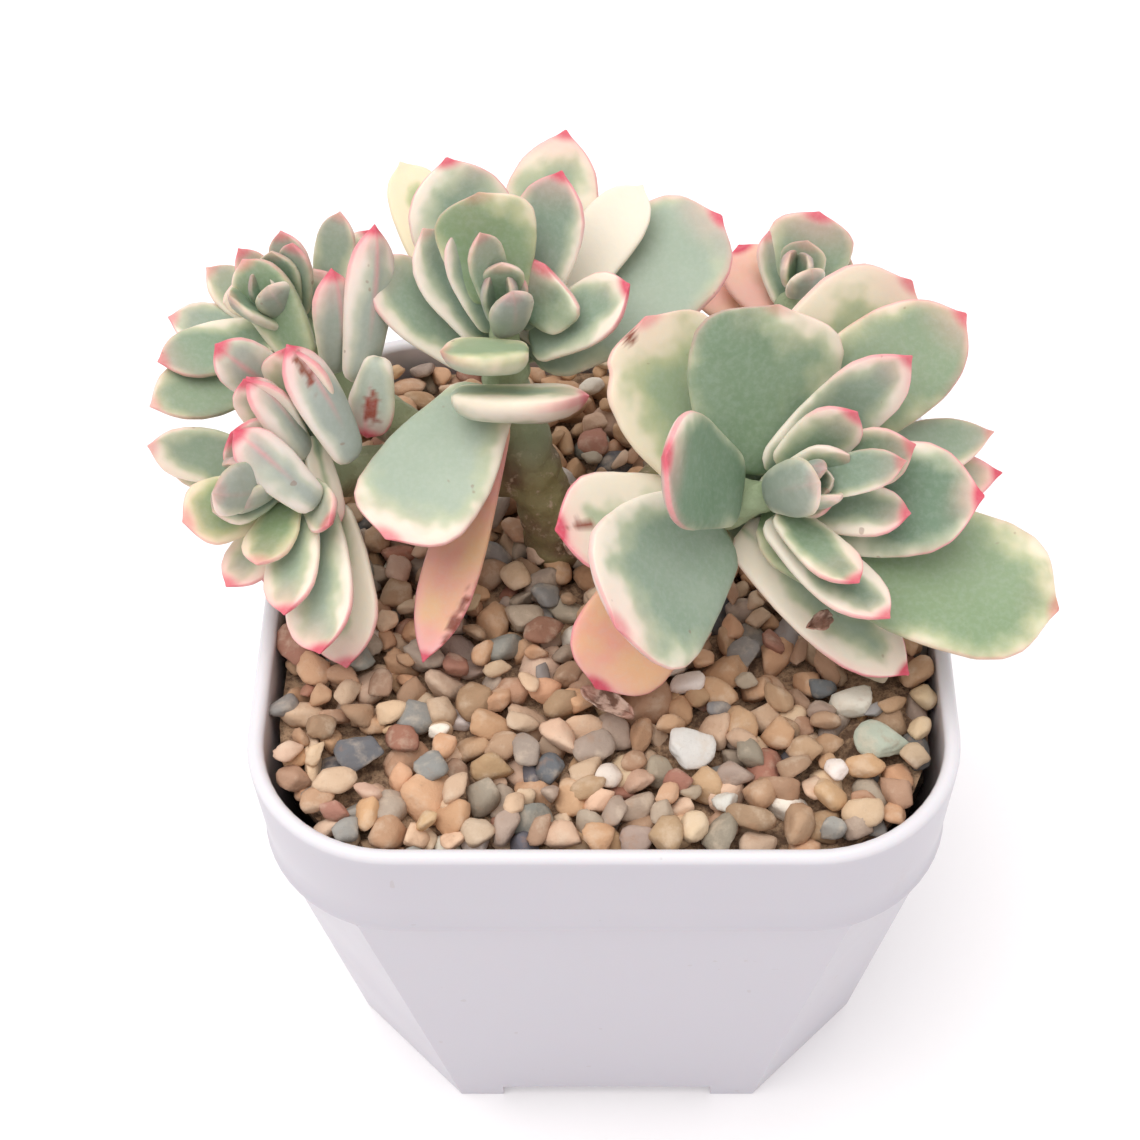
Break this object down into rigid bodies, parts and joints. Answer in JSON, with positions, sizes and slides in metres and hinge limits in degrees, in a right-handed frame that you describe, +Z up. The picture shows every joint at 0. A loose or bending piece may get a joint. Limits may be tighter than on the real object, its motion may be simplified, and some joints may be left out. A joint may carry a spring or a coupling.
{
  "type": "potted succulent",
  "caption": "Branching rosette succulent with variegated spoon-shaped leaves, rooted in a square tapered plastic pot with a gravel top dressing.",
  "frame": {"origin": "on the ground under the pot's centre; the whole part's box is centred over it to within half a millimetre", "axes": "+Z up; -Y is the front, where the lowest crown leaf hangs down; +X is the plant's right seen from the front"},
  "size_m": [0.0956, 0.075, 0.1032],
  "materials": {
    "pot": "satin white plastic with a soft sheen",
    "potting_mix": "dark, crumbly and matt",
    "gravel": "dry mixed grit, matt",
    "stone_green": "smooth, matt",
    "stone_white": "porous, matt",
    "stone_pale": "porous, matt",
    "stone_dark": "smooth, matt",
    "stem": "brown-green bark, matt",
    "leaf": "waxy and satin: grey-green centre, cream margin, pink edge and crimson tip"
  },
  "bodies": {
    "root": {"crown_leaf_01": "leaf", "crown_leaf_02": "leaf", "crown_leaf_03": "leaf", "crown_leaf_04": "leaf", "crown_leaf_05": "leaf", "crown_leaf_06": "leaf", "crown_leaf_07": "leaf", "crown_leaf_08": "leaf", "crown_leaf_09": "leaf", "crown_leaf_10": "leaf", "crown_leaf_11": "leaf", "crown_leaf_12": "leaf", "crown_leaf_13": "leaf", "crown_leaf_14": "leaf", "crown_leaf_15": "leaf", "gravel_bed": "gravel", "low_leaf_01": "leaf", "low_leaf_02": "leaf", "low_leaf_03": "leaf", "low_leaf_04": "leaf", "low_leaf_05": "leaf", "low_leaf_06": "leaf", "low_leaf_07": "leaf", "low_leaf_08": "leaf", "low_leaf_09": "leaf", "low_leaf_10": "leaf", "pot": "pot", "potting_mix": "potting_mix", "rear_leaf_01": "leaf", "rear_leaf_02": "leaf", "right_leaf_01": "leaf", "right_leaf_02": "leaf", "right_leaf_03": "leaf", "right_leaf_04": "leaf", "right_leaf_05": "leaf", "right_leaf_06": "leaf", "right_leaf_07": "leaf", "right_leaf_08": "leaf", "right_leaf_09": "leaf", "right_leaf_10": "leaf", "right_leaf_11": "leaf", "right_leaf_12": "leaf", "right_leaf_13": "leaf", "right_leaf_14": "leaf", "right_leaf_15": "leaf", "right_leaf_16": "leaf", "right_leaf_17": "leaf", "right_leaf_18": "leaf", "right_leaf_19": "leaf", "stem": "stem", "stone_dark": "stone_dark", "stone_green": "stone_green", "stone_pale": "stone_pale", "stone_white": "stone_white", "upper_leaf_01": "leaf", "upper_leaf_02": "leaf", "upper_leaf_03": "leaf", "upper_leaf_04": "leaf", "upper_leaf_05": "leaf", "upper_leaf_06": "leaf"}
  },
  "joints": []
}
